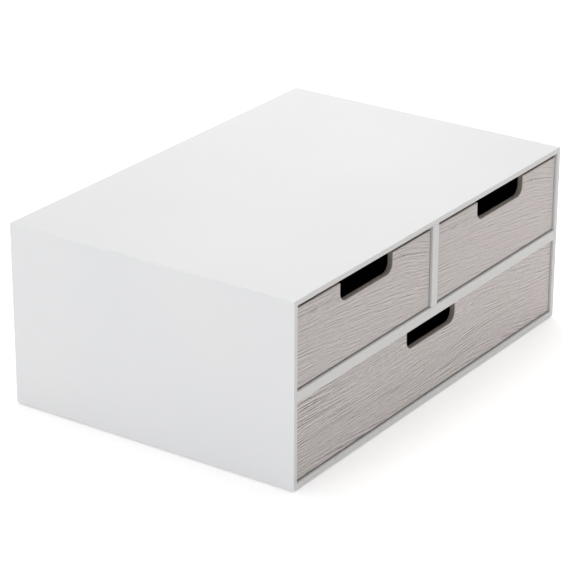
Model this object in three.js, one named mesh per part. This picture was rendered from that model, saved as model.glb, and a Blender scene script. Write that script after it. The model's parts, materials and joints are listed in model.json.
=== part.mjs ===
// Desk organizer: a white casing that holds two small drawers above one wide drawer.
// Millimetres, +Z up. The front faces -Y. The origin is on the desk, under the middle of the casing.

import * as THREE from 'three';

// ---------- driving dimensions ----------

const casing = {
  width: 320,
  depth: 217,
  height: 125,            // without the pads
  panel: 3.6,             // top, bottom, sides and back
  web: 6.9,               // shelf and divider
  lowerBayHeight: 54.4,
  dividerShift: -0.8,     // the divider stands this far to the right of the middle
  backInset: 1,           // the back panel sits this far inside the sleeve's rear edges
};

const pad = {
  radius: 6,
  thickness: 1,
  inset: 18,              // from the casing's outer faces to the pad's centre
  sides: 32,
};

const drawer = {
  frontRecess: 1.6,       // from the casing's front edges back to the drawer's front
  frontThickness: 4,
  frontHeight: 52.5,
  frontLift: 1.2,         // from the bay's floor up to the front's lower edge
  sideGap: 1.2,           // from the bay's side to the drawer, where the drawer is centred
  rearGap: 0.5,           // from the drawer's back to the back panel
  runningGap: 0.2,        // from the bay's floor up to the side boards
  board: 4,               // side and back boards
  boardHeight: 46,
  floorThickness: 3,
  floorLift: 1.5,         // from the side boards' lower edges up to the drawer's floor board
};

const cutout = {
  width: 59,
  depth: 13.2,
  cornerRadius: 6.5,
  arcSteps: 10,
};

// Where each drawer sits in the sideways play of its bay, and how far its cutout is from the middle
// of its front. Positive is to the right.
const placement = {
  upper_left_drawer: { play: -0.8, cutoutShift: 1.5 },
  upper_right_drawer: { play: 0.5, cutoutShift: 2 },
  lower_drawer: { play: 0.3, cutoutShift: -1.8 },
};

// ---------- materials ----------

function matte(colour, roughness) {
  return new THREE.MeshStandardMaterial({ color: colour, roughness, metalness: 0 });
}

const whiteFoil = matte(0xf0f0ef, 0.55);
const ashGrain = matte(0xb5a9a4, 0.6);
const darkBoard = matte(0x1d1c1c, 0.8);
const rubber = matte(0x3a3a3a, 0.9);

// ---------- building blocks ----------

const organizer = new THREE.Group();

function addMesh(parent, name, geometry, material) {
  const mesh = new THREE.Mesh(geometry, material);
  mesh.name = name;
  parent.add(mesh);
  return mesh;
}

// A board with square edges, given by its low and high limits along X, Y and Z.
function addBoard(parent, name, [x0, x1], [y0, y1], [z0, z1], material) {
  const geometry = new THREE.BoxGeometry(x1 - x0, y1 - y0, z1 - z0);
  const mesh = addMesh(parent, name, geometry, material);
  mesh.position.set((x0 + x1) / 2, (y0 + y1) / 2, (z0 + z1) / 2);
  return mesh;
}

// A solid whose outline is drawn in X and Z and which runs back along +Y from frontY.
function addAlongY(parent, name, outline, frontY, length, material, arcSteps = 1) {
  const settings = { depth: length, bevelEnabled: false, curveSegments: arcSteps };
  const geometry = new THREE.ExtrudeGeometry(outline, settings);
  geometry.rotateX(Math.PI / 2);
  const mesh = addMesh(parent, name, geometry, material);
  mesh.position.y = frontY + length;
  return mesh;
}

function polygon(corners) {
  return new THREE.Shape(corners.map(([x, z]) => new THREE.Vector2(x, z)));
}

// ---------- casing ----------

const halfWidth = casing.width / 2;
const frontY = -casing.depth / 2;
const rearY = casing.depth / 2;
const baseZ = pad.thickness;
const topZ = baseZ + casing.height;

// Inner faces of the sleeve.
const innerX = halfWidth - casing.panel;
const floorZ = baseZ + casing.panel;
const ceilingZ = topZ - casing.panel;
const backFaceY = rearY - casing.backInset - casing.panel;

const shelfZ = floorZ + casing.lowerBayHeight;
const shelfTopZ = shelfZ + casing.web;
const halfWeb = casing.web / 2;

// The four sleeve panels meet in 45 degree mitres, so no end grain shows at the corners.
function addSleeve() {
  const panels = {
    top_panel: [[-innerX, ceilingZ], [innerX, ceilingZ], [halfWidth, topZ], [-halfWidth, topZ]],
    bottom_panel: [[-halfWidth, baseZ], [halfWidth, baseZ], [innerX, floorZ], [-innerX, floorZ]],
    left_side_panel: [[-halfWidth, baseZ], [-innerX, floorZ], [-innerX, ceilingZ], [-halfWidth, topZ]],
    right_side_panel: [[halfWidth, baseZ], [halfWidth, topZ], [innerX, ceilingZ], [innerX, floorZ]],
  };
  for (const [name, corners] of Object.entries(panels)) {
    addAlongY(organizer, name, polygon(corners), frontY, casing.depth, whiteFoil);
  }
}

// The shelf and the divider stop at the back panel, and their front edges are flush with the sleeve.
function addInnerBoards() {
  const innerWidth = [-innerX, innerX];
  const innerDepth = [frontY, backFaceY];
  const backDepth = [backFaceY, backFaceY + casing.panel];
  addBoard(organizer, 'back_panel', innerWidth, backDepth, [floorZ, ceilingZ], whiteFoil);
  addBoard(organizer, 'middle_shelf', innerWidth, innerDepth, [shelfZ, shelfTopZ], whiteFoil);
  const dividerWidth = [casing.dividerShift - halfWeb, casing.dividerShift + halfWeb];
  addBoard(organizer, 'centre_divider', dividerWidth, innerDepth, [shelfTopZ, ceilingZ], whiteFoil);
}

function addPads() {
  for (const [endName, y] of [['front', frontY + pad.inset], ['rear', rearY - pad.inset]]) {
    for (const [sideName, x] of [['left', -halfWidth + pad.inset], ['right', halfWidth - pad.inset]]) {
      const disc = new THREE.CylinderGeometry(pad.radius, pad.radius, pad.thickness, pad.sides);
      disc.rotateX(Math.PI / 2);
      const mesh = addMesh(organizer, `pad_${endName}_${sideName}`, disc, rubber);
      mesh.position.set(x, y, pad.thickness / 2);
    }
  }
}

// ---------- drawers ----------

// Outline of a drawer's front: a rectangle from (0, 0) at its lower middle, with the finger cutout
// let into the top edge. The cutout's two lower corners are quarter circles.
function frontOutline(width, cutoutShift) {
  const half = width / 2;
  const top = drawer.frontHeight;
  const bottom = top - cutout.depth;
  const left = cutoutShift - cutout.width / 2;
  const right = cutoutShift + cutout.width / 2;
  const radius = cutout.cornerRadius;
  const outline = new THREE.Shape();
  outline.moveTo(-half, 0);
  outline.lineTo(half, 0);
  outline.lineTo(half, top);
  outline.lineTo(right, top);
  outline.lineTo(right, bottom + radius);
  outline.absarc(right - radius, bottom + radius, radius, 0, -Math.PI / 2, true);
  outline.lineTo(left + radius, bottom);
  outline.absarc(left + radius, bottom + radius, radius, -Math.PI / 2, -Math.PI, true);
  outline.lineTo(left, top);
  outline.lineTo(-half, top);
  outline.closePath();
  return outline;
}

// A drawer for the bay between bayLeft and bayRight, whose floor is at bayFloor. Its group's origin
// is under the drawer's middle, on the bay's floor, in the plane of the front's outer face.
function addDrawer(name, [bayLeft, bayRight], bayFloor) {
  const { play, cutoutShift } = placement[name];
  const faceY = frontY + drawer.frontRecess;
  const group = new THREE.Group();
  group.position.set((bayLeft + bayRight) / 2 + play, faceY, bayFloor);
  organizer.add(group);

  const width = bayRight - bayLeft - 2 * drawer.sideGap;
  const half = width / 2;
  const inside = half - drawer.board;
  const boxStart = drawer.frontThickness;
  const boxEnd = backFaceY - drawer.rearGap - faceY;
  const backStart = boxEnd - drawer.board;
  const walls = [drawer.runningGap, drawer.runningGap + drawer.boardHeight];
  const floorBottom = drawer.runningGap + drawer.floorLift;
  const floor = [floorBottom, floorBottom + drawer.floorThickness];

  const outline = frontOutline(width, cutoutShift);
  const front = addAlongY(group, `${name}_front`, outline, 0, boxStart, ashGrain, cutout.arcSteps);
  front.position.z = drawer.frontLift;
  addBoard(group, `${name}_left_side`, [-half, -inside], [boxStart, boxEnd], walls, darkBoard);
  addBoard(group, `${name}_right_side`, [inside, half], [boxStart, boxEnd], walls, darkBoard);
  addBoard(group, `${name}_back`, [-inside, inside], [backStart, boxEnd], walls, darkBoard);
  addBoard(group, `${name}_floor`, [-inside, inside], [boxStart, backStart], floor, darkBoard);
}

addSleeve();
addInnerBoards();
addPads();

// The two small drawers are twins: each is made for half of the storey above the shelf, as if the
// divider stood in the middle.
addDrawer('upper_left_drawer', [-innerX, -halfWeb], shelfTopZ);
addDrawer('upper_right_drawer', [halfWeb, innerX], shelfTopZ);
addDrawer('lower_drawer', [-innerX, innerX], floorZ);

export default organizer;
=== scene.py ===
import json
import math

import bmesh
import bpy
import numpy as np
from mathutils import Matrix, Vector


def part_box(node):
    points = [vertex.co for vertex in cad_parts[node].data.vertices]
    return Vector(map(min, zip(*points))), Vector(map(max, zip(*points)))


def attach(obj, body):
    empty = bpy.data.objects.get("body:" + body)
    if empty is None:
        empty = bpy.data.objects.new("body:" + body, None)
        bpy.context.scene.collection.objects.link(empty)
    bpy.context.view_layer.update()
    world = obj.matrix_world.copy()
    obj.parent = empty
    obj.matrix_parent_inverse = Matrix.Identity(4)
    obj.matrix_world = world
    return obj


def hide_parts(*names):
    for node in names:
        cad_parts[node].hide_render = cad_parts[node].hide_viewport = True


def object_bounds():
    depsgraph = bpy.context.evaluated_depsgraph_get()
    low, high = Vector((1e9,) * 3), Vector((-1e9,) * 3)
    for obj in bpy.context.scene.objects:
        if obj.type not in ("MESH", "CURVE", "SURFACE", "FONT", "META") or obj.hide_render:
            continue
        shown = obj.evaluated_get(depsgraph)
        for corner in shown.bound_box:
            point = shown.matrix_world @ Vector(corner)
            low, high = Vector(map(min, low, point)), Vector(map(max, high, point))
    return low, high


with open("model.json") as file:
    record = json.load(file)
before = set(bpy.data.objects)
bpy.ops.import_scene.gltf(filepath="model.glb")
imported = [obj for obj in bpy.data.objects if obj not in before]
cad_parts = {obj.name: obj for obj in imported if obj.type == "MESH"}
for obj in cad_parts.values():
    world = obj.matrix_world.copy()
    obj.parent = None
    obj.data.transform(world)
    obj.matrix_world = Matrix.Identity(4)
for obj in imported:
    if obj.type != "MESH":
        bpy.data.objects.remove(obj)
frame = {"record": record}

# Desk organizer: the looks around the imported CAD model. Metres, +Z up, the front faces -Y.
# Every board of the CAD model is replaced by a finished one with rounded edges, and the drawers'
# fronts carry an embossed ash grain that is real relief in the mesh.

cad_low, cad_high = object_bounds()
MM = 0.001
CENTRE = (cad_low + cad_high) / 2

# The sleeve is the casing's four outer panels. The pads reach below it.
SLEEVE_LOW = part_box("bottom_panel")[0]
SLEEVE_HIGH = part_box("top_panel")[1]

# ---------- camera, light and floor ----------

VIEW = {
    "azimuth": -55.54,      # degrees, like the next two: seen from the front left
    "elevation": 23.281,
    "roll": 0.172,
    "distance": 1.7145,     # metres from the object's centre, along the view
    "right": -0.00672,      # metres, the camera's sideways and upward steps from that line
    "up": -0.00853,
    "lens": 163.31,         # mm, on a sensor of this width
    "sensor": 36.0,
}

WORLD_STRENGTH = 0.29

SOFTBOXES = {
    "overhead": {"place": (0.0, 0.1, 2.0), "size": 2.0, "power": 27.0, "colour": (1.0, 1.0, 1.0)},
    "left": {"place": (-2.0, 0.2, 0.7), "size": 1.3, "power": 12.2, "colour": (0.975, 0.98, 1.0)},
    "right_back": {"place": (0.45, 0.36, 0.45), "size": 0.45, "power": 0.56, "colour": (1.0, 1.0, 1.0)},
    "right": {"place": (0.75, 0.1, 0.9), "size": 0.9, "power": 2.16, "colour": (1.0, 1.0, 1.0)},
    "right_front": {"place": (1.3, -0.9, 1.2), "size": 1.0, "power": 2.6, "colour": (1.0, 0.93, 0.85)},
}

FLOOR_REACH = 9.0
# The floor glows at the least strength within the near distance, and at the most from the far one on.
FLOOR_GLOW = {"near": 0.6, "far": 2.2, "least": 0.2, "most": 0.7}

# ---------- sizes of the finish, in metres ----------

FOIL_FOLD = 0.7 * MM        # outer radius where the foil turns the casing's corners
SHARP_FOLD = 0.03 * MM      # the least radius of that fold, on the sleeve's inner faces
FOIL_EDGE = 0.35 * MM       # rounding of the sleeve's front and rear edges
BOARD_EDGE = 0.3 * MM
PAD_EDGE = 0.35 * MM
FRONT_EDGE = 0.3 * MM
ROUND_STEPS = 4             # steps of each rounding of the sleeve and the pads

CUTOUT = {"width": 59 * MM, "depth": 13.2 * MM, "radius": 6.5 * MM}

GRAIN_STEP_X = 0.8 * MM     # mesh spacing along and across the grain
GRAIN_STEP_Z = 0.25 * MM
EMBOSS_DEPTH = 0.05 * MM    # how deep the print's dark lines are pressed
EMBOSS_FROM = 0.2           # the tone from which the print is pressed in
BEND_CELLS = 14             # mesh cells up each rounded corner of a cutout

SMOOTH_ANGLE = 32           # edges that turn less than this many degrees are shaded smooth
EMBOSS_SMOOTH_ANGLE = 40
FACES_FORWARD = -0.9        # a face whose normal has less y than this looks forward


# ---------- noise ----------

def value_noise(x, y, seed):
    """Smooth noise from 0 to 1 with one feature per unit of x and of y."""
    cell_x = np.floor(x).astype(np.int64)
    cell_y = np.floor(y).astype(np.int64)
    fx = x - cell_x
    fy = y - cell_y
    fx = fx * fx * fx * (fx * (fx * 6 - 15) + 10)
    fy = fy * fy * fy * (fy * (fy * 6 - 15) + 10)

    def corner(dx, dy):
        h = (cell_x + dx) * 374761393 + (cell_y + dy) * 668265263 + seed * 1442695041
        h = (h ^ (h >> 13)) * 1274126177
        h = h ^ (h >> 16)
        return (h & 0xFFFF) / 65535.0

    low = corner(0, 0) * (1 - fx) + corner(1, 0) * fx
    high = corner(0, 1) * (1 - fx) + corner(1, 1) * fx
    return low * (1 - fy) + high * fy


def smooth_step(low, high, value):
    t = np.clip((value - low) / (high - low), 0, 1)
    return t * t * (3 - 2 * t)


# ---------- mesh building ----------

def mesh_piece(name, points, faces, material_slots, smooth=True):
    """A new object from points and faces, with its materials in slot order."""
    mesh = bpy.data.meshes.new(name)
    mesh.from_pydata([tuple(p) for p in points], [], [tuple(f) for f in faces])
    for material in material_slots:
        mesh.materials.append(material)
    mesh.polygons.foreach_set("use_smooth", [smooth] * len(mesh.polygons))
    mesh.update()
    piece = bpy.data.objects.new(name, mesh)
    bpy.context.scene.collection.objects.link(piece)
    return piece


def shade_by_angle(piece, degrees=SMOOTH_ANGLE):
    """Smooth shading, broken where faces meet at more than the given angle."""
    mesh = piece.data
    work = bmesh.new()
    work.from_mesh(mesh)
    limit = math.radians(degrees)
    for edge in work.edges:
        edge.smooth = edge.calc_face_angle(0.0) < limit
    for face in work.faces:
        face.smooth = True
    work.to_mesh(mesh)
    work.free()


def weigh_normals(piece):
    """Keeps the large flat faces flat, and leaves the shading turn to the roundings."""
    modifier = piece.modifiers.new("weighted_normals", "WEIGHTED_NORMAL")
    modifier.keep_sharp = True
    modifier.weight = 100


def finish_piece(piece, body, slot, *nodes):
    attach(piece, body)
    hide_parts(*nodes)


def arc(centre, radius, start, end, steps):
    """Points on an arc, in a plane, from start to end in degrees."""
    angles = np.radians(np.linspace(start, end, steps + 1))
    return [(centre[0] + radius * math.cos(a), centre[1] + radius * math.sin(a)) for a in angles]


# ---------- shader building ----------

class Nodes:
    """A short way to write a material's node tree."""

    def __init__(self, name):
        self.material = bpy.data.materials.new(name)
        self.material.use_nodes = True
        self.tree = self.material.node_tree
        self.shader = self.tree.nodes["Principled BSDF"]
        self.place = self.add("ShaderNodeTexCoord").outputs["Object"]

    def add(self, kind, **settings):
        node = self.tree.nodes.new(kind)
        for key, value in settings.items():
            setattr(node, key, value)
        return node

    def link(self, source, target):
        self.tree.links.new(source, target)

    def stretched(self, scale):
        """Object coordinates, scaled by the given amounts along X, Y and Z."""
        mapping = self.add("ShaderNodeMapping")
        mapping.inputs["Scale"].default_value = scale
        self.link(self.place, mapping.inputs["Vector"])
        return mapping.outputs["Vector"]

    def noise(self, vector, scale, detail=3.0, roughness=0.5):
        node = self.add("ShaderNodeTexNoise")
        node.inputs["Scale"].default_value = scale
        node.inputs["Detail"].default_value = detail
        node.inputs["Roughness"].default_value = roughness
        self.link(vector, node.inputs["Vector"])
        return node.outputs["Fac"]

    def attribute(self, name):
        node = self.add("ShaderNodeAttribute", attribute_name=name)
        return node.outputs["Fac"]

    def ramp(self, value, *stops):
        """A colour or grey ramp: each stop is (place, colour), and a grey is a colour of one value."""
        node = self.add("ShaderNodeValToRGB")
        elements = node.color_ramp.elements
        while len(elements) < len(stops):
            elements.new(0.5)
        for element, (at, colour) in zip(elements, stops):
            element.position = at
            element.color = (*colour, 1.0) if len(colour) == 3 else (colour[0],) * 3 + (1.0,)
        self.link(value, node.inputs["Fac"])
        return node.outputs["Color"]

    def spread(self, value, low, high, from_low=0.0, from_high=1.0):
        """Carries the range from_low to from_high over to the range low to high."""
        node = self.add("ShaderNodeMapRange")
        node.inputs["From Min"].default_value = from_low
        node.inputs["From Max"].default_value = from_high
        node.inputs["To Min"].default_value = low
        node.inputs["To Max"].default_value = high
        self.link(value, node.inputs["Value"])
        return node.outputs["Result"]

    def mix(self, factor, first, second, kind="MIX"):
        """Mixes two colours. Each of the three may be a socket or a fixed value."""
        node = self.add("ShaderNodeMix", data_type="RGBA", blend_type=kind)
        for socket, value in ((node.inputs[0], factor), (node.inputs[6], first), (node.inputs[7], second)):
            if isinstance(value, bpy.types.NodeSocket):
                self.link(value, socket)
            elif isinstance(value, tuple):
                socket.default_value = (*value, 1.0)
            else:
                socket.default_value = value
        return node.outputs[2]

    def edges(self, radius):
        """Near 1 along the piece's sharp edges, and 0 on its flat faces. It masks the painted edge
        highlights.
        """
        bevel = self.add("ShaderNodeBevel", samples=4)
        bevel.inputs["Radius"].default_value = radius
        geometry = self.add("ShaderNodeNewGeometry")
        dot = self.add("ShaderNodeVectorMath", operation="DOT_PRODUCT")
        self.link(bevel.outputs["Normal"], dot.inputs[0])
        self.link(geometry.outputs["True Normal"], dot.inputs[1])
        return self.spread(dot.outputs["Value"], 1.0, 0.0, 0.75, 0.98)

    def bump(self, height, distance, strength):
        node = self.add("ShaderNodeBump")
        node.inputs["Distance"].default_value = distance
        node.inputs["Strength"].default_value = strength
        self.link(height, node.inputs["Height"])
        return node.outputs["Normal"]

    def finish(self, colour, roughness, normal, specular):
        self.link(colour, self.shader.inputs["Base Color"])
        self.link(roughness, self.shader.inputs["Roughness"])
        self.link(normal, self.shader.inputs["Normal"])
        self.shader.inputs["Specular IOR Level"].default_value = specular
        return self.material


# ---------- materials ----------

def foil_material(name, low, high, edge_highlight_colour):
    """Smooth matte foil over thin board: a faint orange peel, and a painted highlight along the edges."""
    n = Nodes(name)
    cloud = n.noise(n.place, 9.0, 2.0)
    body = n.ramp(cloud, (0.3, low), (0.7, high))
    # painted highlight: the foil's edges are paler in colour, where a rounded edge would catch the light
    foil_edge_highlight = n.mix(n.edges(0.5 * MM), body, edge_highlight_colour)
    peel = n.noise(n.place, 1100.0, 2.0)
    fleck = n.noise(n.place, 260.0, 3.0)
    roughness = n.spread(fleck, 0.4, 0.52)
    normal = n.bump(peel, 0.01 * MM, 0.6)
    return n.finish(foil_edge_highlight, roughness, normal, 0.45)


def ash_face_material():
    """Greige ash-look paper: the mesh carries the emboss, and says how dark the print is, with painted
    shade in that tone. The edges get a painted highlight.
    """
    brightness = 1.27
    n = Nodes("ash_face")
    fibre = n.noise(n.stretched((1.0, 1.0, 16.0)), 160.0, 4.0, 0.6)
    tint = n.ramp(n.attribute("tint"), (0.25, (0.62, 0.565, 0.554)), (0.75, (0.612, 0.57, 0.549)))
    tone = n.ramp(n.attribute("tone"), (0.0, (1.0,)), (0.25, (0.745,)), (0.5, (0.49,)), (1.0, (0.16,)))
    printed = n.mix(1.0, tint, n.mix(1.0, tone, (brightness,) * 3, "MULTIPLY"), "MULTIPLY")
    fibred = n.mix(n.spread(fibre, 0.0, 0.16, 0.35, 0.75), printed, (0.45, 0.4, 0.385))
    # painted highlight: the front's edges are paler in colour
    ash_edge_highlight = n.mix(n.spread(n.edges(0.6 * MM), 0.0, 0.4), fibred, (0.66, 0.61, 0.59))
    roughness = n.spread(fibre, 0.5, 0.68)
    return n.finish(ash_edge_highlight, roughness, n.bump(fibre, 0.02 * MM, 0.5), 0.35)


def core_edge_material():
    """The cut edge of a drawer's front: fine taupe-stained fibre board."""
    n = Nodes("core_edge")
    fibre = n.noise(n.place, 700.0, 4.0, 0.7)
    layer = n.noise(n.stretched((1.0, 30.0, 1.0)), 60.0, 2.0)
    body = n.ramp(fibre, (0.35, (0.255, 0.225, 0.2)), (0.65, (0.36, 0.32, 0.288)))
    layered = n.mix(n.spread(layer, 0.0, 0.4), body, (0.22, 0.19, 0.168))
    roughness = n.spread(fibre, 0.7, 0.9)
    return n.finish(layered, roughness, n.bump(fibre, 0.05 * MM, 0.7), 0.25)


def shade_board_material():
    """Near-black board inside the drawers, painted shade for the dark inside them, with a short fibre and
    a painted highlight along the edges.
    """
    n = Nodes("dark_board")
    fibre = n.noise(n.stretched((1.0, 0.15, 1.0)), 480.0, 4.0, 0.65)
    body = n.ramp(fibre, (0.3, (0.016, 0.0155, 0.015)), (0.75, (0.036, 0.034, 0.033)))
    # painted highlight: the board's edges are paler in colour
    board_edge_highlight = n.mix(n.spread(n.edges(0.5 * MM), 0.0, 0.5), body, (0.1, 0.095, 0.09))
    roughness = n.spread(fibre, 0.6, 0.85)
    return n.finish(board_edge_highlight, roughness, n.bump(fibre, 0.04 * MM, 0.6), 0.3)


def rubber_material():
    """Matte grey rubber with a fine grain."""
    n = Nodes("pad_rubber")
    grain = n.noise(n.place, 1500.0, 3.0, 0.6)
    body = n.ramp(grain, (0.3, (0.035, 0.035, 0.036)), (0.7, (0.06, 0.06, 0.061)))
    roughness = n.spread(grain, 0.75, 0.95)
    return n.finish(body, roughness, n.bump(grain, 0.03 * MM, 0.8), 0.3)


def floor_material():
    """White paper, which glows a little, and more where it is out of the softboxes' reach."""
    n = Nodes("studio_floor")
    cloud = n.noise(n.place, 2.0, 2.0)
    body = n.ramp(cloud, (0.3, (0.955, 0.955, 0.955)), (0.7, (0.965, 0.965, 0.965)))
    distance = n.add("ShaderNodeVectorMath", operation="LENGTH")
    n.link(n.place, distance.inputs[0])
    glow = n.spread(distance.outputs["Value"], FLOOR_GLOW["least"], FLOOR_GLOW["most"],
                    FLOOR_GLOW["near"], FLOOR_GLOW["far"])
    n.link(glow, n.shader.inputs["Emission Strength"])
    n.shader.inputs["Emission Color"].default_value = (1.0, 1.0, 1.0, 1.0)
    return n.finish(body, n.spread(cloud, 0.85, 0.95), n.bump(cloud, 0.01 * MM, 0.1), 0.1)


# The last colour of each foil is the paler colour of its painted edge highlight.
WHITE_FOIL = foil_material("white_foil", (0.717, 0.72, 0.727), (0.74, 0.74, 0.743), (0.8, 0.8, 0.798))
# The edge band is warmer than the foil, and darker as painted shade on the faces that look forward.
SHADED_EDGE_BAND = foil_material("shaded_edge_band", (0.7, 0.692, 0.68), (0.72, 0.712, 0.699), (0.78, 0.771, 0.757))
ASH_FACE = ash_face_material()
CORE_EDGE = core_edge_material()
# The drawers' boards are near-black as painted shade for the dark inside the drawers.
SHADE_BOARD = shade_board_material()
RUBBER = rubber_material()


# ---------- casing ----------

def panel_profile(front_y, rear_y, thickness):
    """A sleeve panel's cross-section as (depth below the outer face, y) points, edges rounded."""
    r = FOIL_EDGE
    points = []
    corners = (
        ((r, front_y + r), 180, 270),
        ((thickness - r, front_y + r), 270, 360),
        ((thickness - r, rear_y - r), 0, 90),
        ((r, rear_y - r), 90, 180),
    )
    for centre, start, end in corners:
        points += arc(centre, r, start, end, ROUND_STEPS)
    return points


def sleeve_panel(name, turn, half_length, half_height, low, high):
    """One panel of the mitred sleeve, drawn as the top one and turned about the Y axis. It ends on
    its mitre planes, and carries its half of the folded corner at each end."""
    thickness = high[2] - low[2] if turn in (0, 180) else high[0] - low[0]
    profile = panel_profile(low[1], high[1], thickness)
    stations = [(-1, a) for a in np.linspace(45, 0, ROUND_STEPS + 1)]
    stations += [(1, a) for a in np.linspace(0, 45, ROUND_STEPS + 1)]
    points = []
    for side, angle in stations:
        a = math.radians(angle)
        for depth, y in profile:
            r = max(FOIL_FOLD - depth, SHARP_FOLD)
            x = half_length - depth - r + r * math.sin(a)
            z = half_height - depth - r + r * math.cos(a)
            points.append(Vector((side * x, y, z)))
    ring = len(profile)
    faces = []
    for row in range(len(stations) - 1):
        for i in range(ring):
            a, b = row * ring + i, row * ring + (i + 1) % ring
            faces.append((a, b, b + ring, a + ring))
    last = (len(stations) - 1) * ring
    faces.append(tuple(reversed(range(ring))))
    faces.append(tuple(range(last, last + ring)))
    middle = Vector((0, 0, (SLEEVE_LOW.z + SLEEVE_HIGH.z) / 2))
    rotation = Matrix.Rotation(math.radians(turn), 4, "Y")
    placed = [middle + (rotation @ p) for p in points]
    piece = mesh_piece(f"{name}_foiled", placed, faces, [WHITE_FOIL])
    recalculate_normals(piece)
    shade_by_angle(piece)
    weigh_normals(piece)
    band_front_edge(piece)
    finish_piece(piece, "casing", "white_foil", name)


def band_front_edge(piece):
    """The faces that look straight forward are covered with a slightly warmer edge band, which is also
    darker than the foil as painted shade on the forward faces.
    """
    piece.data.materials.append(SHADED_EDGE_BAND)
    for face in piece.data.polygons:
        if face.normal.y < FACES_FORWARD:
            face.material_index = 1


def recalculate_normals(piece):
    """Turns every face so that it looks outward."""
    work = bmesh.new()
    work.from_mesh(piece.data)
    bmesh.ops.recalc_face_normals(work, faces=work.faces)
    work.to_mesh(piece.data)
    work.free()


def make_sleeve():
    """The four panels, each as the angle that it is turned by and its half lengths before that."""
    half_width = (SLEEVE_HIGH.x - SLEEVE_LOW.x) / 2
    half_height = (SLEEVE_HIGH.z - SLEEVE_LOW.z) / 2
    turns = {
        "top_panel": (0, half_width, half_height),
        "right_side_panel": (90, half_height, half_width),
        "bottom_panel": (180, half_width, half_height),
        "left_side_panel": (270, half_height, half_width),
    }
    for name, (turn, half_length, half_rise) in turns.items():
        low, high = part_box(name)
        sleeve_panel(name, turn, half_length, half_rise, low, high)


def rounded_board(name, body, slot, material, suffix):
    """A board in the box of its CAD node, with every edge rounded."""
    low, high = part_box(name)
    work = bmesh.new()
    bmesh.ops.create_cube(work, size=1.0)
    for vertex in work.verts:
        for axis in range(3):
            vertex.co[axis] = high[axis] if vertex.co[axis] > 0 else low[axis]
    bmesh.ops.bevel(work, geom=work.edges[:], offset=BOARD_EDGE, segments=3, profile=0.5, affect="EDGES")
    mesh = bpy.data.meshes.new(f"{name}_{suffix}")
    work.to_mesh(mesh)
    work.free()
    mesh.materials.append(material)
    piece = bpy.data.objects.new(mesh.name, mesh)
    bpy.context.scene.collection.objects.link(piece)
    shade_by_angle(piece)
    weigh_normals(piece)
    finish_piece(piece, body, slot, name)
    return piece


def make_inner_boards():
    rounded_board("back_panel", "casing", "white_foil", WHITE_FOIL, "foiled")
    for name in ("middle_shelf", "centre_divider"):
        band_front_edge(rounded_board(name, "casing", "white_foil", WHITE_FOIL, "foiled"))


def make_pads():
    """Four round pads, flat underneath, with soft rims. Their outline runs up from the flat middle."""
    around = 48
    flat_middle = 0.55
    for name in ("pad_front_left", "pad_front_right", "pad_rear_left", "pad_rear_right"):
        low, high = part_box(name)
        centre = (low + high) / 2
        radius = (high.x - low.x) / 2
        rim = arc((radius - PAD_EDGE, low.z + PAD_EDGE), PAD_EDGE, -90, 0, ROUND_STEPS)
        outline = [(radius * flat_middle, low.z)] + rim + [(radius, high.z)]
        points = []
        for r, z in outline:
            for k in range(around):
                a = 2 * math.pi * k / around
                points.append((centre.x + r * math.cos(a), centre.y + r * math.sin(a), z))
        faces = [tuple(reversed(range(around)))]
        for row in range(len(outline) - 1):
            for k in range(around):
                a, b = row * around + k, row * around + (k + 1) % around
                faces.append((a, b, b + around, a + around))
        last = (len(outline) - 1) * around
        faces.append(tuple(range(last, last + around)))
        piece = mesh_piece(f"{name}_rubber", points, faces, [RUBBER])
        recalculate_normals(piece)
        shade_by_angle(piece)
        finish_piece(piece, "casing", "rubber_pad", name)


# ---------- the ash grain ----------
# All lengths here are in mm. x and z are a point's place from the front's lower left corner, and a
# slope is how much the grain rises for each mm to the right.

def small_front_slope(x, z):
    """The grain's slope on a small front. It falls gently to the right, is nearly level along the
    top, and falls more steeply towards the right end."""
    near_foot = 0.55 + 0.45 * smooth_step(3.0, 12.0, z)
    low = (-0.06 - 0.1 * smooth_step(5.0, 50.0, x)) * near_foot
    low = low - 0.06 * smooth_step(105.0, 135.0, x) * smooth_step(8.0, 14.0, z)
    high = -0.05 - 0.25 * smooth_step(106.0, 134.0, x)
    in_upper_part = smooth_step(28.0, 38.0, z)
    return low + (high - low) * in_upper_part


def wide_front_slope(x, z):
    """The same for the wide front: nearly level, with a low arch whose crest is right of the middle,
    and falling on the right."""
    level = 0.01 - 0.065 * smooth_step(26.0, 40.0, z) - 0.1 * (1 - smooth_step(2.0, 16.0, z))
    climb = 0.08 * np.exp(-((x - 170.0) / 35.0) ** 2) * (1 - smooth_step(20.0, 34.0, z))
    return level + climb - 0.12 * smooth_step(205.0, 240.0, x)


# The print's layers. Reach is how far a streak runs to each side, pitch is the distance between
# streaks, length and height are those of a fleck or patch, and share is the layer's part in the tone.
PORES = {"reach": 10.0, "pitch": 1.7, "share": 0.2, "skew": 0.12}
HAIRS = {"reach": 3.0, "pitch": 0.9, "share": 0.08}
FLECKS = {"length": 1.8, "height": 0.6, "share": 0.22}
PATCHES = {"length": 22.0, "height": 8.0, "least": 0.6, "more": 0.7}
TINTS = {"length": 48.0, "height": 26.0}
WAVER = {"length": 9.0, "height": 3.5, "slope": 0.09}    # the grain's small turns off its slope
LINE_SHARE = 0.36               # a streak's width, as a share of the pitch
LINE_HALF_WIDTH = 0.42          # of a single dark line
LINE_WANDER = {"length": 30.0, "height": 0.6}
LINE_FADE_LENGTH = 14.0
LINE_RUN_UP = 8.0               # a single line's path begins this far before its first x
LINE_RUN_OUT = 12.0             # and ends this far after its last one

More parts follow.
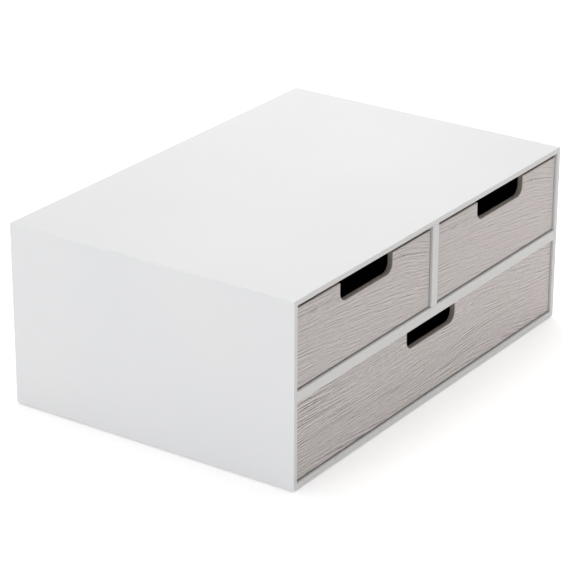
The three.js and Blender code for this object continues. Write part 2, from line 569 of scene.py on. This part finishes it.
# Single dark lines, as (first x, last x, height where the path begins, strength).
SMALL_LINES = ((0, 46, 47.2, 0.8), (107, 122, 47.7, 1.2), (124, 144, 46.2, 0.6))
WIDE_LINES = (
    (0, 45, 50.6, 0.5), (0, 32, 46.5, 0.5), (0, 30, 44.2, 0.5), (0, 45, 37.6, 0.8), (0, 30, 35.6, 0.7),
    (0, 60, 22.1, 0.7), (38, 58, 27.8, 0.7), (57, 107, 18.3, 0.6), (105, 126, 17.1, 0.7),
    (34, 50, 4.6, 0.9), (65, 80, 1.9, 1.0), (166, 208, 9.8, 0.8), (176, 245, 19.8, 0.4),
    (250, 262, 5.0, 0.8), (258, 275, 49.5, 0.5),
)

# Each front's grain: its slope, its single lines, its seed, its contrast, how much stronger the pores
# are in the upper left, how much painted shade darkens the left end against the right one and the
# bottom against the top, and how much lighter the whole front is, partly as painted light. The
# small fronts carry the same print.
SMALL_GRAIN = {"slope": small_front_slope, "lines": SMALL_LINES, "seed": 11, "left": 0.0,
               "painted_shade_left": 0.06, "painted_shade_low": 0.0}
GRAINS = {
    "upper_left_drawer": SMALL_GRAIN | {"contrast": 0.98, "lighter": 0.0},
    "upper_right_drawer": SMALL_GRAIN | {"contrast": 0.76, "lighter": 0.08},
    "lower_drawer": {"slope": wide_front_slope, "lines": WIDE_LINES, "seed": 47, "left": 0.7,
                     "painted_shade_left": 0.2, "painted_shade_low": 0.08, "contrast": 1.28, "lighter": 0.02},
}


def streaks(x, z, slope, layer, seed):
    """Lines that run with the grain, as values about 0 with a spread of 1. A noise that changes from
    line to line is averaged along the grain, as far as the layer's reach to both sides."""
    steps = 8
    step = layer["reach"] / steps
    line_width = LINE_SHARE * layer["pitch"]
    half_pitch = 0.5 / LINE_SHARE

    def across(px, pz):
        u, v = px / step, pz / line_width
        beside = value_noise(u, v - half_pitch, seed) + value_noise(u, v + half_pitch, seed)
        return value_noise(u, v, seed) - 0.5 * beside

    total = across(x, z)
    for side in (-step, step):
        px, pz = x, z
        for _ in range(steps):
            turn = value_noise(px / WAVER["length"], pz / WAVER["height"], seed + 1) - 0.5
            pz = pz + (slope(px, pz) + WAVER["slope"] * turn) * side
            px = px + side
            total = total + across(px, pz)
    return total / total.std()


def line_height(x, first, last, height, slope):
    """The height above each x of a grain line whose path begins at this height."""
    path_x = np.arange(first - LINE_RUN_UP, last + LINE_RUN_OUT)
    path_z = [height]
    for px in path_x[:-1]:
        path_z.append(path_z[-1] + slope(px, path_z[-1]))
    return np.interp(x, path_x, path_z)


def single_line(x, z, line, slope, seed):
    """How much darker one single line makes the print, with soft ends and a changing strength."""
    first, last, height, strength = line
    drift = value_noise(x / LINE_WANDER["length"], np.full_like(x, height), seed + 5) - 0.5
    middle = line_height(x, first, last, height, slope)
    distance = np.abs(z - middle - LINE_WANDER["height"] * drift) / LINE_HALF_WIDTH
    ends = smooth_step(first - 6.0, first + 3.0, x) * (1 - smooth_step(last - 3.0, last + 10.0, x))
    fade = 0.5 + 0.5 * value_noise(x / LINE_FADE_LENGTH, np.full_like(x, height * 3.1), seed + 6)
    return strength * fade * ends * (1 - smooth_step(0.2, 1.2, distance))


def ash_grain(x, z, grain, width, height):
    """How dark the print is at points of a front, with painted shade added, about 0.5 and up to 2, and its
    tint, from 0 to 1.
    """
    seed, slope = grain["seed"], grain["slope"]
    pores = streaks(x, z, slope, PORES, seed)
    hairs = streaks(x, z, slope, HAIRS, seed + 3)
    flecks = value_noise(x / FLECKS["length"], z / FLECKS["height"], seed + 7) - 0.5
    patch_noise = value_noise(x / PATCHES["length"], z / PATCHES["height"], seed + 4)
    patch = smooth_step(0.2, 0.9, patch_noise)
    upper_left = (1 - smooth_step(10.0, 65.0, x)) * smooth_step(16.0, 34.0, z)
    strength = PATCHES["least"] + PATCHES["more"] * patch + grain["left"] * upper_left
    skewed = pores + PORES["skew"] * (pores ** 2 - 1)
    tone = PORES["share"] * strength * skewed + HAIRS["share"] * hairs + FLECKS["share"] * flecks
    for line in grain["lines"]:
        tone = tone + single_line(x, z, line, slope, seed)
    tone = 0.5 + grain["contrast"] * tone - grain["lighter"]
    # painted shade: darker towards the left end and towards the bottom of each front
    tone = tone + grain["painted_shade_left"] * (0.5 - x / width) + grain["painted_shade_low"] * (0.5 - z / height)
    tint = value_noise(x / TINTS["length"], z / TINTS["height"], seed + 9)
    return tone, tint


# ---------- drawer fronts ----------

def cutout_middle(drawer):
    """Where the record has the middle of the drawer's finger cutout, along X."""
    name = drawer.replace("drawer", "finger_cutout")
    low, high = next(o["box_m"] for o in frame["record"]["physics"]["openings"] if o["name"] == name)
    return (low[0] + high[0]) / 2


def grid_counts(width, height, shift):
    """How many cells a front's grid has: along X left of the cutout, across its bottom and right of
    it, then up Z below the cutout, round its corners and along its straight sides."""
    left = width / 2 + shift - CUTOUT["width"] / 2 + CUTOUT["radius"]
    right = width / 2 - shift - CUTOUT["width"] / 2 + CUTOUT["radius"]
    across = CUTOUT["width"] - 2 * CUTOUT["radius"]
    columns = [round(length / GRAIN_STEP_X) for length in (left, across, right)]
    below = round((height - CUTOUT["depth"]) / GRAIN_STEP_Z)
    straight = round((CUTOUT["depth"] - CUTOUT["radius"]) / GRAIN_STEP_Z)
    return (*columns, below, BEND_CELLS, straight)


def front_grid(width, height, shift, inset, counts):
    """The x and z of a front's face grid, in metres from its lower middle, drawn this far inside
    the outline. The block over the cutout's bottom holds no face. Rows run up, columns to the right."""
    left_n, across_n, right_n, below_n, bend_n, straight_n = counts
    radius = CUTOUT["radius"] + inset
    left = shift - CUTOUT["width"] / 2 - inset
    right = shift + CUTOUT["width"] / 2 + inset
    bottom = height - CUTOUT["depth"] - inset
    end = width / 2 - inset

    phi = np.radians(np.linspace(0, 90, bend_n + 1))
    rise = bottom + radius * (1 - np.cos(phi))
    pull = radius * (1 - np.sin(phi))
    above = np.linspace(rise[-1], height - inset, straight_n + 1)[1:]
    z = np.concatenate([np.linspace(inset, bottom, below_n + 1)[:-1], rise, above])
    reach = np.concatenate([np.full(below_n, pull[0]), pull, np.zeros(straight_n)])
    x = np.zeros((len(z), left_n + across_n + right_n + 1))
    for row in range(len(z)):
        x[row, :left_n + 1] = np.linspace(-end, left + reach[row], left_n + 1)
        x[row, left_n + across_n:] = np.linspace(right - reach[row], end, right_n + 1)
        inner = np.linspace(left + reach[row], right - reach[row], across_n + 1)
        x[row, left_n + 1:left_n + across_n] = inner[1:-1]
    return x, np.repeat(z[:, None], x.shape[1], axis=1)


def number_grid(shape, counts):
    """Which grid places have a point, and the number of each place's point, -1 where it has none."""
    left_n, across_n, _, below_n, _, _ = counts
    solid = np.ones(shape, bool)
    solid[below_n + 1:, left_n + 1:left_n + across_n] = False
    index = np.full(shape, -1)
    index[solid] = np.arange(solid.sum())
    return solid, index


def face_quads(index, counts):
    """The embossed face's quads: all of the grid but the cutout."""
    left_n, across_n, _, below_n, _, _ = counts
    quads = np.stack([index[:-1, :-1], index[:-1, 1:], index[1:, 1:], index[1:, :-1]], axis=2)
    whole = (quads >= 0).all(axis=2)
    whole[below_n:, left_n:left_n + across_n] = False
    return [tuple(q) for q in quads[whole].tolist()]


def outline_order(shape, counts):
    """Grid places (row, column) round the front's outline, anticlockwise seen from the front."""
    left_n, across_n, _, below_n, _, _ = counts
    top, last = shape[0] - 1, shape[1] - 1
    right_start = left_n + across_n
    order = [(0, c) for c in range(last)]
    order += [(r, last) for r in range(top)]
    order += [(top, c) for c in range(last, right_start, -1)]
    order += [(r, right_start) for r in range(top, below_n, -1)]
    order += [(below_n, c) for c in range(right_start, left_n, -1)]
    order += [(r, left_n) for r in range(below_n, top)]
    order += [(top, c) for c in range(left_n, 0, -1)]
    order += [(r, 0) for r in range(top, 0, -1)]
    return order


def rim_profile(thickness):
    """The rings that close a front behind its face, as (inset, depth behind the face), and how many
    of them round the printed edge."""
    printed = [(FRONT_EDGE * (1 - math.sin(a)), FRONT_EDGE * (1 - math.cos(a)))
               for a in np.radians((30, 60, 90))]
    rear = [(inset, thickness - back) for inset, back in reversed(printed)]
    return printed + rear + [(FRONT_EDGE, thickness)], len(printed)


def ring_quads(previous, current):
    """The quads between two rings of points, given by their numbers."""
    following = np.roll(np.arange(len(current)), -1)
    return [(int(previous[i]), int(current[i]), int(current[j]), int(previous[j]))
            for i, j in enumerate(following)]


def store_print(piece, tone, tint, solid):
    """Keeps the print and its painted shade with the mesh, for the material to read: tone halved, so that
    it runs to 1.
    The points behind the face come last, and get plain values."""
    extra = len(piece.data.vertices) - int(solid.sum())
    for label, values, plain in (("tone", tone / 2, 0.25), ("tint", tint, 0.5)):
        stored = np.concatenate([values[solid], np.full(extra, plain)])
        layer = piece.data.attributes.new(label, "FLOAT", "POINT")
        layer.data.foreach_set("value", stored.astype(np.float32))


def make_front(drawer):
    """A drawer's front: an embossed face, rounded edges, and cut edges of bare core."""
    node = f"{drawer}_front"
    low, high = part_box(node)
    width, height, thickness = high.x - low.x, high.z - low.z, high.y - low.y
    middle = (low.x + high.x) / 2
    shift = cutout_middle(drawer) - middle
    counts = grid_counts(width, height, shift)

    x, z = front_grid(width, height, shift, FRONT_EDGE, counts)
    tone, tint = ash_grain((x + width / 2) / MM, z / MM, GRAINS[drawer], width / MM, height / MM)
    relief = EMBOSS_DEPTH * np.clip(tone - EMBOSS_FROM, 0.0, 1.0)
    solid, index = number_grid(x.shape, counts)
    points = [np.stack([x + middle, low.y + relief, z + low.z], axis=2)[solid]]
    faces = face_quads(index, counts)

    row_at, column_at = np.array(outline_order(x.shape, counts)).T
    around = len(row_at)
    rim, printed_rings = rim_profile(thickness)
    printed_faces = len(faces) + printed_rings * around
    previous = index[row_at, column_at]
    made = len(points[0])
    for inset, back in rim:
        ring_x, ring_z = front_grid(width, height, shift, inset, counts)
        ring = np.stack([
            ring_x[row_at, column_at] + middle,
            np.full(around, low.y + back),
            ring_z[row_at, column_at] + low.z,
        ], axis=1)
        points.append(ring)
        current = np.arange(made, made + around)
        made += around
        faces += ring_quads(previous, current)
        previous = current
    faces.append(tuple(int(i) for i in previous))

    piece = mesh_piece(f"{node}_embossed", np.concatenate(points), faces, [ASH_FACE, CORE_EDGE])
    slots = np.ones(len(faces), np.int32)
    slots[:printed_faces] = 0
    piece.data.polygons.foreach_set("material_index", slots)
    store_print(piece, tone, tint, solid)
    recalculate_normals(piece)
    shade_by_angle(piece, EMBOSS_SMOOTH_ANGLE)
    inner_face = piece.data.polygons[-1]
    inner_face.use_smooth = False
    finish_piece(piece, drawer, "ash_grain", node)


def make_drawer(drawer):
    make_front(drawer)
    # The drawer's sides, back and floor are near-black boards: painted shade for its dark inside.
    for board in ("left_side", "right_side", "back", "floor"):
        rounded_board(f"{drawer}_{board}", drawer, "dark_board", SHADE_BOARD, "shade_black")


# ---------- stage ----------

def make_camera():
    azimuth, elevation = math.radians(VIEW["azimuth"]), math.radians(VIEW["elevation"])
    back = Vector((
        math.sin(azimuth) * math.cos(elevation),
        -math.cos(azimuth) * math.cos(elevation),
        math.sin(elevation),
    ))
    right = Vector((0, 0, 1)).cross(back).normalized()
    up = back.cross(right)
    data = bpy.data.cameras.new("camera")
    data.lens = VIEW["lens"]
    data.sensor_width = VIEW["sensor"]
    camera = bpy.data.objects.new("camera", data)
    bpy.context.scene.collection.objects.link(camera)
    turned = Matrix((right, up, back)).transposed() @ Matrix.Rotation(math.radians(VIEW["roll"]), 3, "Z")
    camera.rotation_euler = turned.to_euler()
    camera.location = CENTRE + back * VIEW["distance"] + right * VIEW["right"] + up * VIEW["up"]
    bpy.context.scene.camera = camera


def make_lights():
    for name, box in SOFTBOXES.items():
        data = bpy.data.lights.new(f"{name}_softbox", "AREA")
        data.size = box["size"]
        data.energy = box["power"]
        data.color = box["colour"]
        light = bpy.data.objects.new(name, data)
        light.visible_camera = False
        light.location = box["place"]
        light.rotation_euler = (CENTRE - Vector(box["place"])).to_track_quat("-Z", "Y").to_euler()
        bpy.context.scene.collection.objects.link(light)
    world = bpy.data.worlds.new("studio")
    world.use_nodes = True
    sky = world.node_tree.nodes["Background"]
    sky.inputs["Color"].default_value = (1.0, 1.0, 1.0, 1.0)
    sky.inputs["Strength"].default_value = WORLD_STRENGTH
    bpy.context.scene.world = world
    bpy.context.scene.view_settings.view_transform = "Standard"


def make_floor():
    reach = FLOOR_REACH
    corners = [(-reach, -reach, 0), (reach, -reach, 0), (reach, reach, 0), (-reach, reach, 0)]
    floor = mesh_piece("floor", corners, [(0, 1, 2, 3)], [floor_material()], smooth=False)


make_camera()
make_lights()
make_floor()
make_sleeve()
make_inner_boards()
make_pads()
for drawer in GRAINS:
    make_drawer(drawer)
